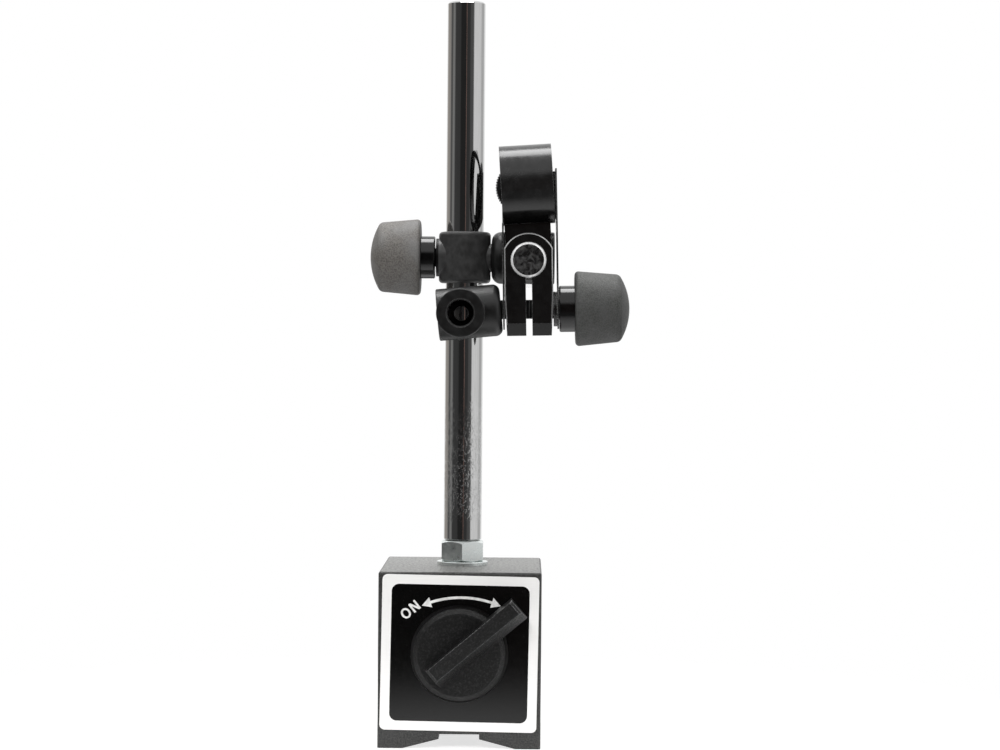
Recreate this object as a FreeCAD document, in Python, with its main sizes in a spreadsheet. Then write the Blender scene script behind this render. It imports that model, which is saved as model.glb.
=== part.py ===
"""Magnetic indicator stand: a switchable magnetic base, a chrome pole, a sliding swivel clamp,
a cross rod and a fine-adjust holder with a stem sleeve.

Millimetres. +X is to the right of the label, +Y points away from it, +Z is up. The origin is on
the pole's axis, in the plane that the two feet stand on.
"""
import FreeCAD, Part
import math
import os
import re
import Sketcher
from FreeCAD import Vector

DIMENSIONS = {
    # magnetic base
    "base_wide": 50, "base_deep": 60, "base_high": 54, "base_edge": 0.8,
    "foot_inner": 17.3, "vee_high": 2.9, "spacer_wide": 12.4, "relief_high": 4.4,
    "bore_rad": 17, "rotor_z": 29.2, "pin_rad": 1.5, "pin_long": 36, "pin_y": 22,
    "pin_low": 7.8, "pin_top": 50.6,
    # rotor and its bearings
    "rotor_rad": 16.6, "core_half": 7, "core_long": 47, "hub_rad": 16, "hub_thick": 3,
    "shaft_rad": 5, "shaft_fit": 0.05, "bearing_thick": 3, "rear_bearing_y": 26.8,
    "rear_bearing_thick": 2.2, "drive_rad": 4, "drive_long": 4, "clip_in": 4.3,
    "clip_out": 8, "clip_thick": 0.7, "clip_y": 29.1, "clip_gap": 3,
    "stop_rad": 1, "stop_circle": 10.5, "stop_room": 0.2, "stop_reach": 3,
    # label plate and switch knob
    "label_wide": 48, "label_high": 47.6, "label_thick": 0.5, "label_turn": 0.8,
    "label_hole": 15, "label_corner": 1.6, "knob_gap": 0.3, "knob_rad": 14,
    "knob_thick": 4.8, "knob_bevel": 1.4, "lever_angle": 40, "lever_over": 3.1,
    "lever_crease": 1.6, "lever_under": 4.4, "lever_long": 23.2, "lever_short": 10.5,
    "lever_high": 10, "lever_lift": 1, "lever_edge": 0.8, "switch_turn": 90,
    # pole, washer and nut
    "pole_rad": 6, "pole_low": 61.8, "pole_top": 231.7, "pole_edge": 0.5, "stud_rad": 4,
    "stud_low": 48.2, "stud_hole_low": 48, "stud_fit": 0.05, "washer_rad": 8,
    "washer_thick": 1.2, "nut_flats": 13, "nut_high": 6.5,
    # pole clamp
    "clamp_z": 151.15, "collar_rad": 8.2, "collar_half": 8.1, "collar_edge": 1.2,
    "slide_fit": 0.05, "boss_rad": 6, "boss_reach": 9, "spigot_rad": 4.5,
    "spigot_reach": 12.8, "pad_rad": 2.9, "pad_near": 6.1, "pad_far": 8, "thrust_rad": 2.5,
    "screw_rad": 2.95, "screw_hole": 3, "groove_rad": 3.5, "groove_x": 11.4,
    "swivel_pin_rad": 0.75, "swivel_pin_drop": 4.3, "swivel_pin_front": 3, "swivel_pin_back": 6.6,
    # clamp knobs
    "core_rad": 6.7, "core_stub": 4.5, "pole_core_near": 9.3, "pole_grip_near": 13.9,
    "grip_rad": 12.1, "grip_side": 12.8, "grip_shoulder": 10.95, "grip_crown": 3.1,
    "grip_edge": 1.2, "grip_round": 2, "stub_depth": 6.5, "holder_core_near": 9.3,
    "holder_grip_near": 14.2, "holder_core_rad": 7.2, "holder_grip_rad": 11.7,
    "holder_grip_side": 13.8, "holder_shoulder": 10.45,
    # rod sleeve and cross rod
    "sleeve_rad": 8.2, "sleeve_near": 8.5, "sleeve_far": 28.4, "sleeve_round": 3,
    "sleeve_edge": 0.5, "rod_x": 20.15, "rod_drop": 1.2, "rod_rad": 5.55, "rod_front": 23.1,
    "rod_long": 150, "rod_edge": 0.7,
    # holder clamp, in a frame on the cross rod's axis
    "holder_tilt": 1.2, "jaw_half": 7.5, "jaw_arch": 8.3, "jaw_low": 23.4, "jaw_front": 22.6,
    "jaw_back": 10.6, "jaw_slit": 1.9, "jaw_bend": 11, "jaw_toe_half": 6.9,
    "jaw_edge": 0.35, "toe_high": 3.8, "toe_deep": 1.6,
    "bolt_y": 16.6, "bolt_drop": 15.2, "bolt_rad": 2.95, "bolt_room": 0.1,
    # bow spring on the holder
    "bow_rad": 12.4, "bow_thick": 1.9, "bow_wide": 16.2, "bow_y": 12.4, "bow_up": 23.7,
    "bow_shift": 0.9, "bow_lean": 2.6, "bow_open_from": 295, "bow_open_to": 325,
    "foot_left": 7.8, "foot_right": 6.6, "foot_front": 15.4, "foot_low": 3, "bow_screw_y": 13,
    "bow_screw_rad": 1.5, "bow_screw_room": 0.15, "bow_head_rad": 2.7,
    "bow_head_low": 13.9, "bow_head_high": 1.6, "bow_screw_tip": 6.3,
    # fine adjustment
    "plate_left": 7.6, "plate_right": 8.7, "plate_thick": 0.5, "eye_rad": 6.25,
    "plate_top": 28.9, "plate_step": 12, "plate_front": 19, "arm_low": 7.8, "web_low": 14,
    "web_front": 4.9, "web_thick": 0.9, "bow_room": 1.4, "side_washer_rad": 5.4,
    "washer_gap": 0.05,
    "wheel_rad": 8.6, "wheel_front": 0.7, "wheel_thick": 3, "wheel_x": 1.3,
    "window_room": 1, "window_half": 6.7, "wheel_edge": 0.35, "tooth_count": 62,
    "tooth_deep": 0.4, "fine_rad": 2, "fine_front": 4.1,
    "fine_back": 10.2, "fine_room": 0.1, "nut_rad": 4, "nut_room": 0.55, "nut_thick": 2.6,
    "collet_rad": 3.2, "clip_back": 0.8,
    # stem sleeve and its draw bolt
    "stem_rad": 8.05, "stem_near": 8.7, "stem_long": 19.75, "stem_bore": 6.5, "stem_wall": 4,
    "stem_droop": 4.2, "stem_hole": 4.05, "stem_back_hole": 2.3, "stem_hole_x": 21.2, "stem_boss_rad": 7.5,
    "stem_boss_reach": 9, "stem_round": 2.2, "eye_shaft": 5, "eye_far": 27.2,
    "eye_near": 14.6,
    "bolt_end": 19.5, "stem_hole_edge": 0.4,
}

doc = FreeCAD.newDocument("indicator_stand")
sheet = doc.addObject("Spreadsheet::Sheet", "dims")
for row, (alias, number) in enumerate(DIMENSIONS.items(), start=1):
    sheet.set(f"A{row}", alias)
    sheet.set(f"B{row}", str(number))
    sheet.setAlias(f"B{row}", alias)
doc.recompute()

PIECES = []


# ---------------------------------------------------------------- expressions and frames
def bound(text):
    """The same formula with each dimension's name pointing at the sheet."""
    return re.sub(
        r"[a-z][a-z_]*[a-z]",
        lambda m: f"dims.{m.group()}" if m.group() in DIMENSIONS else m.group(),
        text,
    )


def value(text):
    """What a formula of dimensions comes to now."""
    return float(sheet.evalExpression(bound(text)))


def frame(x="0", y="0", z="0", axis=(0, 0, 1), turn="0"):
    """A placement, as a formula: a point and a turn about an axis, in degrees."""
    direction = "; ".join(str(part) for part in axis)
    return f"placement(vector({x}; {y}; {z}); rotation(vector({direction}); {turn}))"


CLAMP = frame(z="clamp_z")
ROD = frame("rod_x", "0", "clamp_z - rod_drop")
HOLDER = frame("rod_x", "0", "clamp_z - rod_drop", (0, -1, 0), "holder_tilt")
BOLT = HOLDER + " * " + frame("0", "-bolt_y", "-bolt_drop")
STEM = BOLT + " * " + frame("-stem_near", "0", "0", (0, -1, 0), "stem_droop")
ROTOR = frame(z="rotor_z")
SWITCH = frame("0", "-(base_deep / 2 + label_thick + knob_gap)", "rotor_z", (0, -1, 0), "lever_angle")
BOW = HOLDER + " * " + frame("bow_shift", "0", "0", (0, -1, 0), "bow_lean")
FINE = BOW + " * " + frame("-wheel_x", "0", "bow_up")


# ---------------------------------------------------------------- sketches and features
def new_body(label, where=None):
    body = doc.addObject("PartDesign::Body", label)
    body.Label = label
    if where:
        body.setExpression("Placement", bound(where))
    PIECES.append(body)
    return body


def new_sketch(body, plane, lift=None):
    """An empty sketch on one of the body's own origin planes, lifted along that plane's normal."""
    sketch = body.newObject("Sketcher::SketchObject", f"{body.Label}_sketch")
    origin = [part for part in body.Origin.OriginFeatures if part.Role == plane + "_Plane"][0]
    sketch.AttachmentSupport = (origin, [""])
    sketch.MapMode = "FlatFace"
    if lift:
        sketch.setExpression("AttachmentOffset.Base.z", bound(lift))
    return sketch


def pin_vertex(sketch, line, vertex, across, up):
    """Fix a vertex's two coordinates to formulas."""
    for kind, text in (("DistanceX", across), ("DistanceY", up)):
        index = sketch.addConstraint(Sketcher.Constraint(kind, -1, 1, line, vertex, value(text)))
        sketch.setExpression(f"Constraints[{index}]", bound(text))


def arc_between(start, end, radius):
    """The short arc from start to end. A positive radius has its centre on the left of the way."""
    chord = end - start
    rise = math.sqrt(radius**2 - (chord.Length / 2) ** 2)
    left = Vector(-chord.y, chord.x, 0) / chord.Length
    centre = (start + end) / 2 + left * math.copysign(rise, radius)
    first, last = (start, end) if radius > 0 else (end, start)
    angles = [math.atan2(point.y - centre.y, point.x - centre.x) for point in (first, last)]
    if angles[1] < angles[0]:
        angles[1] += 2 * math.pi
    return Part.ArcOfCircle(Part.Circle(centre, Vector(0, 0, 1), abs(radius)), *angles)


def outline(body, plane, points, lift=None):
    """A closed outline. Each point is (across, up) or (across, up, radius of the arc to the next)."""
    sketch = new_sketch(body, plane, lift)
    places = [Vector(value(point[0]), value(point[1]), 0) for point in points]
    ends = []
    for index, point in enumerate(points):
        start = places[index]
        end = places[(index + 1) % len(places)]
        if len(point) == 2:
            sketch.addGeometry(Part.LineSegment(start, end), False)
            ends.append((1, 2))
        else:
            radius = value(point[2])
            sketch.addGeometry(arc_between(start, end, radius), False)
            ends.append((1, 2) if radius > 0 else (2, 1))
    for index, point in enumerate(points):
        following = (index + 1) % len(points)
        joint = Sketcher.Constraint("Coincident", index, ends[index][1], following, ends[following][0])
        sketch.addConstraint(joint)
    for index, point in enumerate(points):
        pin_vertex(sketch, index, ends[index][0], point[0], point[1])
        if len(point) == 3:
            radius = abs(value(point[2]))
            number = sketch.addConstraint(Sketcher.Constraint("Radius", index, radius))
            sketch.setExpression(f"Constraints[{number}]", bound(f"abs({point[2]})"))
    return sketch


def circles(body, plane, rounds, lift=None):
    """Circles, each given as (across, up, radius)."""
    sketch = new_sketch(body, plane, lift)
    for across, up, radius in rounds:
        centre = Vector(value(across), value(up), 0)
        line = sketch.addGeometry(Part.Circle(centre, Vector(0, 0, 1), value(radius)), False)
        pin_vertex(sketch, line, 3, across, up)
        number = sketch.addConstraint(Sketcher.Constraint("Radius", line, value(radius)))
        sketch.setExpression(f"Constraints[{number}]", bound(radius))
    return sketch


def box_outline(body, plane, left, right, low, high, lift=None):
    corners = [(left, low), (right, low), (right, high), (left, high)]
    return outline(body, plane, corners, lift)


def pad(body, sketch, length, both=False, back=False):
    feature = body.newObject("PartDesign::Pad", f"{body.Label}_pad")
    feature.Profile = sketch
    feature.setExpression("Length", bound(length))
    feature.Midplane = both
    feature.Reversed = back
    doc.recompute()
    return feature


def pocket(body, sketch, length=None, back=False):
    """Cut the sketch to a length one way, or all the way through both ways."""
    before = body.Tip.Shape.Volume
    feature = body.newObject("PartDesign::Pocket", f"{body.Label}_pocket")
    feature.Profile = sketch
    if length:
        feature.setExpression("Length", bound(length))
    else:
        feature.Type = 1
        feature.Midplane = True
    feature.Reversed = back
    doc.recompute()
    if not feature.Shape.Volume < before - 1e-3:
        raise RuntimeError(f"{feature.Name} cuts nothing")
    return feature


TURNING = {"X": ("XY", "H_Axis"), "Y": ("XY", "V_Axis"), "Z": ("XZ", "V_Axis")}


def turned(body, axis, profile, cut=False):
    """Turn a profile about an axis: (along, radius) about X, (radius, along) about Y or Z."""
    plane, line = TURNING[axis]
    sketch = outline(body, plane, profile)
    before = body.Tip.Shape.Volume if cut else 0
    kind = "Groove" if cut else "Revolution"
    feature = body.newObject(f"PartDesign::{kind}", f"{body.Label}_{kind.lower()}")
    feature.Profile = sketch
    feature.ReferenceAxis = (sketch, [line])
    feature.Angle = 360
    doc.recompute()
    if cut and not feature.Shape.Volume < before - 1e-3:
        raise RuntimeError(f"{feature.Name} cuts nothing")
    return feature


def dress(body, kind, size, chosen):
    """Fillet or chamfer the edges of the last feature that a test picks."""
    last = body.Tip
    names = [f"Edge{n}" for n, edge in enumerate(last.Shape.Edges, start=1) if chosen(edge)]
    if not names:
        raise RuntimeError(f"no edge to {kind} on {body.Label}")
    feature = body.newObject(f"PartDesign::{kind}", f"{body.Label}_{kind.lower()}")
    feature.Base = (last, names)
    feature.setExpression("Radius" if kind == "Fillet" else "Size", bound(size))
    doc.recompute()
    return feature


def near(a, b, room=1e-4):
    return abs(a - b) < room


def rim(radius, axis, *places):
    """A test for round edges of this radius, at these places along an axis."""
    size = value(radius)
    spots = [value(place) for place in places]

    def chosen(edge):
        if edge.Degenerated or not isinstance(edge.Curve, Part.Circle):
            return False
        if not near(edge.Curve.Radius, size):
            return False
        along = getattr(edge.Curve.Center, axis)
        return any(near(along, spot) for spot in spots)

    return chosen


# ---------------------------------------------------------------- magnetic base
def on_base_edge(edge):
    """True on the base's outer edges: the top ones and the upright corners."""
    if not isinstance(edge.Curve, Part.Line):
        return False
    middle = edge.CenterOfMass
    at_side = near(abs(middle.x), value("base_wide / 2"))
    at_end = near(abs(middle.y), value("base_deep / 2"))
    at_top = near(middle.z, value("base_high"))
    return (at_side and at_end) or (at_top and (at_side or at_end))


def pole_block(label, sign):
    """One of the two soft iron halves, with half of the foot's shallow vee."""
    body = new_body(label)
    points = [
        (f"{sign}spacer_wide / 2", "vee_high"),
        (f"{sign}foot_inner", "0"),
        (f"{sign}base_wide / 2", "0"),
        (f"{sign}base_wide / 2", "base_high"),
        (f"{sign}spacer_wide / 2", "base_high"),
    ]
    pad(body, outline(body, "XZ", points), "base_deep", both=True)
    dress(body, "Fillet", "base_edge", on_base_edge)
    pocket(body, circles(body, "XZ", [("0", "rotor_z", "bore_rad")]))
    pocket(body, pin_holes(body), "pin_long / 2", back=sign == "")


def pin_holes(body, heights=("pin_low", "pin_top")):
    places = [(side, up) for side in ("pin_y", "-pin_y") for up in heights]
    return circles(body, "YZ", [(side, up, "pin_rad") for side, up in places])


def spacer(label, low, high, pin_height):
    """A non-magnetic bar between the two iron halves."""
    body = new_body(label)
    half = "spacer_wide / 2"
    pad(body, box_outline(body, "XZ", "-" + half, half, low, high), "base_deep", both=True)
    if label == "top_spacer":
        dress(body, "Fillet", "base_edge", on_base_edge)
    pocket(body, circles(body, "XZ", [("0", "rotor_z", "bore_rad")]))
    pocket(body, pin_holes(body, (pin_height,)))
    return body


pole_block("left_pole_block", "-")
pole_block("right_pole_block", "")
top_spacer = spacer("top_spacer", "rotor_z", "base_high", "pin_top")
stud_hole = circles(top_spacer, "XY", [("0", "0", "stud_rad")], "base_high")
pocket(top_spacer, stud_hole, "base_high - stud_hole_low")
spacer("bottom_spacer", "relief_high", "rotor_z", "pin_low")

cross_pins = doc.addObject("Part::Compound", "cross_pins")
pins = []
for side in ("pin_y", "-pin_y"):
    for up in ("pin_low", "pin_top"):
        pin = doc.addObject("Part::Cylinder", "cross_pin")
        pin.setExpression("Radius", bound("pin_rad"))
        pin.setExpression("Height", bound("pin_long"))
        pin.setExpression("Placement", bound(frame("-pin_long / 2", side, up, (0, 1, 0), "90")))
        pins.append(pin)
cross_pins.Links = pins
cross_pins.Label = "cross_pins"
PIECES.append(cross_pins)

front_bearing = new_body("front_bearing", ROTOR)
bearing_holes = [
    ("0", "0", "bore_rad"),
    ("0", "0", "shaft_rad + shaft_fit"),
    ("0", "-stop_circle", "stop_rad"),
]
front_face = circles(front_bearing, "XZ", bearing_holes, "base_deep / 2 - bearing_thick")
pad(front_bearing, front_face, "bearing_thick")

rear_bearing = new_body("rear_bearing", ROTOR)
rear_face = circles(rear_bearing, "XZ", bearing_holes[:2], "-rear_bearing_y")
pad(rear_bearing, rear_face, "rear_bearing_thick", back=True)

stop_pin = new_body("stop_pin", ROTOR)
stop_circle = circles(
    stop_pin, "XZ", [("0", "-stop_circle", "stop_rad")], "base_deep / 2 - bearing_thick"
)
pad(stop_pin, stop_circle, "bearing_thick + stop_reach")

label_plate = new_body("label_plate", frame(z="rotor_z", axis=(0, 1, 0), turn="label_turn"))
label_face = box_outline(
    label_plate, "XZ", "-label_wide / 2", "label_wide / 2", "-label_high / 2", "label_high / 2",
    "base_deep / 2",
)
pad(label_plate, label_face, "label_thick")
dress(
    label_plate, "Fillet", "label_corner",
    lambda edge: isinstance(edge.Curve, Part.Line) and near(edge.Length, value("label_thick")),
)
pocket(label_plate, circles(label_plate, "XZ", [("0", "0", "label_hole")]))


# ---------------------------------------------------------------- rotor and switch knob
magnet_core = new_body("magnet_core", ROTOR)
chord = "sqrt(rotor_rad^2 - core_half^2)"
core_points = [
    (f"-{chord}", "-core_half"),
    (chord, "-core_half", "rotor_rad"),
    (chord, "core_half"),
    (f"-{chord}", "core_half", "rotor_rad"),
]
pad(magnet_core, outline(magnet_core, "XZ", core_points), "core_long", both=True)

for segment_label, side in (("upper_segment", ""), ("lower_segment", "-")):
    segment = new_body(segment_label, ROTOR)
    bend = f"{side}rotor_rad"
    segment_points = [(chord, f"{side}core_half", bend), (f"-{chord}", f"{side}core_half")]
    pad(segment, outline(segment, "XZ", segment_points), "core_long", both=True)

front_hub = new_body("front_hub", ROTOR)
turned(front_hub, "Y", [
    ("0", "-core_long / 2"),
    ("hub_rad", "-core_long / 2"),
    ("hub_rad", "-(core_long / 2 + hub_thick)"),
    ("shaft_rad", "-(core_long / 2 + hub_thick)"),
    ("shaft_rad", "-(base_deep / 2 + label_thick)"),
    ("drive_rad", "-(base_deep / 2 + label_thick)"),
    ("drive_rad", "-(base_deep / 2 + label_thick + knob_gap + drive_long)"),
    ("0", "-(base_deep / 2 + label_thick + knob_gap + drive_long)"),
])

rear_hub = new_body("rear_hub", ROTOR)
turned(rear_hub, "Y", [
    ("0", "core_long / 2"),
    ("hub_rad", "core_long / 2"),
    ("hub_rad", "core_long / 2 + hub_thick"),
    ("shaft_rad", "core_long / 2 + hub_thick"),
    ("shaft_rad", "clip_y"),
    ("clip_in", "clip_y"),
    ("clip_in", "clip_y + clip_thick"),
    ("shaft_rad", "clip_y + clip_thick"),
    ("shaft_rad", "base_deep / 2"),
    ("0", "base_deep / 2"),
])

retaining_ring = new_body("retaining_ring", ROTOR)
ring_face = circles(retaining_ring, "XZ", [("0", "0", "clip_out"), ("0", "0", "clip_in")], "-clip_y")
pad(retaining_ring, ring_face, "clip_thick", back=True)
ring_gap = box_outline(retaining_ring, "XZ", "-clip_gap / 2", "clip_gap / 2", "-clip_out - 1", "0")
pocket(retaining_ring, ring_gap)


def make_switch_knob():
    """A round knob with a bar lever across it and a quarter-turn groove behind for the stop pin."""
    body = new_body("switch_knob", SWITCH)
    turned(body, "Y", [
        ("0", "0"),
        ("knob_rad", "0"),
        ("knob_rad", "-(knob_thick - knob_bevel)"),
        ("knob_rad - knob_bevel", "-knob_thick"),
        ("0", "-knob_thick"),
    ])
    section = [
        ("-lever_lift", "lever_over"),
        ("-lever_high", "lever_over - 0.2"),
        ("-lever_high + 0.5", "-lever_crease"),
        ("-knob_thick", "-lever_under"),
        ("-lever_lift", "-lever_under"),
    ]
    bar = outline(body, "YZ", section, "-lever_short")
    pad(body, bar, "lever_short + lever_long")

    def on_lever_end(edge):
        box = edge.BoundBox
        ends = (value("-lever_short"), value("lever_long"))
        at_end = any(near(box.XMin, end) and near(box.XMax, end) for end in ends)
        return at_end and box.YMax < value("1 - lever_high")

    dress(body, "Chamfer", "lever_edge", on_lever_end)
    pocket(body, circles(body, "XZ", [("0", "0", "drive_rad")]), "drive_long", back=True)
    inner = "(stop_circle - stop_rad - stop_room)"
    outer = "(stop_circle + stop_rad + stop_room)"
    room = "asin((stop_rad + stop_room) / stop_circle) / 1deg"
    first = f"(270 - lever_angle - switch_turn - {room})"
    middle = "(270 - lever_angle - switch_turn / 2)"
    last = f"(270 - lever_angle + {room})"
    groove = [
        (f"{inner} * cos({last})", f"{inner} * sin({last})", f"-{inner}"),
        (f"{inner} * cos({middle})", f"{inner} * sin({middle})", f"-{inner}"),
        (f"{inner} * cos({first})", f"{inner} * sin({first})"),
        (f"{outer} * cos({first})", f"{outer} * sin({first})", outer),
        (f"{outer} * cos({middle})", f"{outer} * sin({middle})", outer),
        (f"{outer} * cos({last})", f"{outer} * sin({last})"),
    ]
    pocket(body, outline(body, "XZ", groove), "stop_reach", back=True)


make_switch_knob()


# ---------------------------------------------------------------- pole, washer and nut
pole = new_body("pole")
turned(pole, "Z", [
    ("0", "stud_low"),
    ("stud_rad - stud_fit", "stud_low"),
    ("stud_rad - stud_fit", "pole_low"),
    ("pole_rad", "pole_low"),
    ("pole_rad", "pole_top"),
    ("0", "pole_top"),
])
dress(pole, "Chamfer", "pole_edge", rim("pole_rad", "z", "pole_low", "pole_top"))

pole_washer = new_body("pole_washer", frame(z="base_high"))
washer_face = circles(pole_washer, "XY", [("0", "0", "washer_rad"), ("0", "0", "stud_rad")])
pad(pole_washer, washer_face, "washer_thick")
dress(pole_washer, "Fillet", "pole_edge / 2", rim("washer_rad", "z", "washer_thick"))

pole_nut = new_body("pole_nut", frame(z="base_high + washer_thick"))
nut_corner = "nut_flats / sqrt(3)"
hexagon = [
    (f"{nut_corner} * cos({60 * corner - 90})", f"{nut_corner} * sin({60 * corner - 90})")
    for corner in range(6)
]
pad(pole_nut, outline(pole_nut, "XY", hexagon), "nut_high")
for level, way in (("nut_high", "-"), ("0", "+")):
    # a 30 degree cone takes the corners off each end
    turned(pole_nut, "Z", [
        ("nut_flats * 0.48", level),
        ("nut_flats * 0.64", level),
        ("nut_flats * 0.64", f"{level} {way} nut_flats * 0.16 * tan(30)"),
    ], cut=True)
pocket(pole_nut, circles(pole_nut, "XY", [("0", "0", "stud_rad")]))


# ---------------------------------------------------------------- pole clamp
pole_collar = new_body("pole_collar", CLAMP)
turned(pole_collar, "Z", [
    ("0", "-collar_half"),
    ("collar_rad", "-collar_half"),
    ("collar_rad", "collar_half"),
    ("0", "collar_half"),
])
dress(pole_collar, "Fillet", "collar_edge", rim("collar_rad", "z", "-collar_half", "collar_half"))
pad(pole_collar, circles(pole_collar, "YZ", [("0", "0", "boss_rad")]), "boss_reach", back=True)
pad(pole_collar, circles(pole_collar, "YZ", [("0", "0", "spigot_rad")]), "spigot_reach")
pocket(pole_collar, circles(pole_collar, "XY", [("0", "0", "pole_rad + slide_fit")]))
screw_bore = circles(pole_collar, "YZ", [("0", "0", "screw_hole")])
pocket(pole_collar, screw_bore, "boss_reach", back=False)
thrust_bore = circles(pole_collar, "YZ", [("0", "0", "thrust_rad + slide_fit")])
pocket(pole_collar, thrust_bore, "spigot_reach", back=True)
groove_room = "(swivel_pin_rad + slide_fit)"
turned(pole_collar, "X", [
    (f"groove_x - {groove_room}", "groove_rad"),
    (f"groove_x + {groove_room}", "groove_rad"),
    (f"groove_x + {groove_room}", "spigot_rad + 1"),
    (f"groove_x - {groove_room}", "spigot_rad + 1"),
], cut=True)


def rod_along_x(label, radius, start, end, where=CLAMP):
    """A plain round pin from start to end along X."""
    body = new_body(label, where)
    turned(body, "X", [(start, "0"), (start, radius), (end, radius), (end, "0")])
    return body


rod_along_x("pole_pad", "pad_rad", "-pad_far", "-pad_near")
rod_along_x("thrust_pin", "thrust_rad", "pad_near", "rod_x - rod_rad - 0.1")
rod_along_x("pole_knob_screw", "screw_rad", "-(pole_grip_near + stub_depth)", "-(pad_far + 0.1)")


def knob_pieces(name, where, core_near, grip_near, core_rad, bore, grip_rad, shoulder, side):
    """A hard shank and a domed soft grip, made outward along the frame's own +X."""
    core = new_body(f"{name}_core", where)
    reach = f"{grip_near} + stub_depth"
    turned(core, "X", [
        (core_near, bore),
        (core_near, core_rad),
        (grip_near, core_rad),
        (grip_near, "core_stub"),
        (reach, "core_stub"),
        (reach, bore),
    ])
    dress(core, "Fillet", "sleeve_edge", rim(core_rad, "x", core_near))
    grip = new_body(f"{name}_grip", where)
    side_end = f"{grip_near} + {side}"
    crown_rad = f"({shoulder}^2 + grip_crown^2) / (2 * grip_crown)"
    turned(grip, "X", [
        (grip_near, "core_stub"),
        (grip_near, grip_rad),
        (side_end, shoulder, f"-{crown_rad}"),
        (f"{side_end} + grip_crown", "0"),
        (reach, "0"),
        (reach, "core_stub"),
    ])
    dress(grip, "Fillet", "grip_edge", rim(grip_rad, "x", grip_near))
    dress(grip, "Fillet", "grip_round", rim(shoulder, "x", side_end))


LEFTWARD = CLAMP + " * " + frame(axis=(0, 0, 1), turn="180")
knob_pieces(
    "pole_knob", LEFTWARD, "pole_core_near", "pole_grip_near", "core_rad", "screw_rad",
    "grip_rad", "grip_shoulder", "grip_side",
)


# ---------------------------------------------------------------- rod sleeve and cross rod
rod_sleeve = new_body("rod_sleeve", CLAMP)
turned(rod_sleeve, "X", [
    ("sleeve_near", "0"),
    ("sleeve_near", "sleeve_rad"),
    ("sleeve_far", "sleeve_rad"),
    ("sleeve_far", "0"),
])
dress(rod_sleeve, "Fillet", "sleeve_round", rim("sleeve_rad", "x", "sleeve_near"))
dress(rod_sleeve, "Fillet", "sleeve_edge", rim("sleeve_rad", "x", "sleeve_far"))
pocket(rod_sleeve, circles(rod_sleeve, "XZ", [("rod_x", "-rod_drop", "rod_rad")]))
spigot_bore = circles(rod_sleeve, "YZ", [("0", "0", "spigot_rad + slide_fit")])
pocket(rod_sleeve, spigot_bore, "rod_x - 2", back=True)
pin_bore = circles(
    rod_sleeve, "XZ", [("groove_x", "-swivel_pin_drop", "swivel_pin_rad")], "swivel_pin_front"
)
pocket(rod_sleeve, pin_bore, "swivel_pin_front + sleeve_rad")

swivel_pin = new_body("swivel_pin", CLAMP)
pin_face = circles(
    swivel_pin, "XZ", [("groove_x", "-swivel_pin_drop", "swivel_pin_rad")], "swivel_pin_front"
)
pad(swivel_pin, pin_face, "swivel_pin_front + swivel_pin_back", back=True)

sub_rod = new_body("sub_rod", ROD)
turned(sub_rod, "Y", [
    ("0", "-rod_front"),
    ("rod_rad - slide_fit", "-rod_front"),
    ("rod_rad - slide_fit", "rod_long - rod_front"),
    ("0", "rod_long - rod_front"),
])
rod_ends = rim("rod_rad - slide_fit", "y", "-rod_front", "rod_long - rod_front")
dress(sub_rod, "Chamfer", "rod_edge", rod_ends)


# ---------------------------------------------------------------- holder clamp and bow spring
def make_holder_clamp():
    """A split block round the cross rod, with two jaws that one bolt draws together."""
    body = new_body("holder_clamp", HOLDER)
    spring = "sqrt(jaw_arch^2 - jaw_half^2)"
    points = [
        ("-jaw_toe_half", "-jaw_low"),
        ("jaw_toe_half", "-jaw_low"),
        ("jaw_half", "-jaw_bend"),
        ("jaw_half", spring, "jaw_arch"),
        ("-jaw_half", spring),
        ("-jaw_half", "-jaw_bend"),
    ]
    pad(body, outline(body, "XZ", points, "jaw_back"), "jaw_front - jaw_back")
    toe = [
        ("-jaw_front - 1", "-jaw_low - 1"),
        ("-(jaw_front - toe_deep) + toe_deep / toe_high", "-jaw_low - 1"),
        ("-jaw_front", "toe_high - jaw_low"),
        ("-jaw_front - 1", "toe_high - jaw_low"),
    ]
    pocket(body, outline(body, "YZ", toe))

    def on_front_border(edge):
        box = edge.BoundBox
        front = value("-jaw_front")
        above_toe = box.ZMax > value("1 - jaw_low + toe_high")
        return near(box.YMin, front) and near(box.YMax, front) and above_toe

    dress(body, "Chamfer", "jaw_edge", on_front_border)
    pocket(body, circles(body, "XZ", [("0", "0", "rod_rad")]))
    slit = box_outline(body, "XZ", "-jaw_slit / 2", "jaw_slit / 2", "-jaw_low - 1", "0")
    pocket(body, slit)
    pocket(body, circles(body, "YZ", [("-bolt_y", "-bolt_drop", "bolt_rad + bolt_room")]))
    screw_x = "bow_shift - (bow_screw_tip + jaw_arch) / 2 * sin(bow_lean)"
    screw_bore = circles(
        body, "XY", [(screw_x, "-bow_screw_y", "bow_screw_rad + bow_screw_room")],
        "bow_screw_tip - bow_screw_room",
    )
    pocket(body, screw_bore, "jaw_arch", back=True)


make_holder_clamp()


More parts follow.
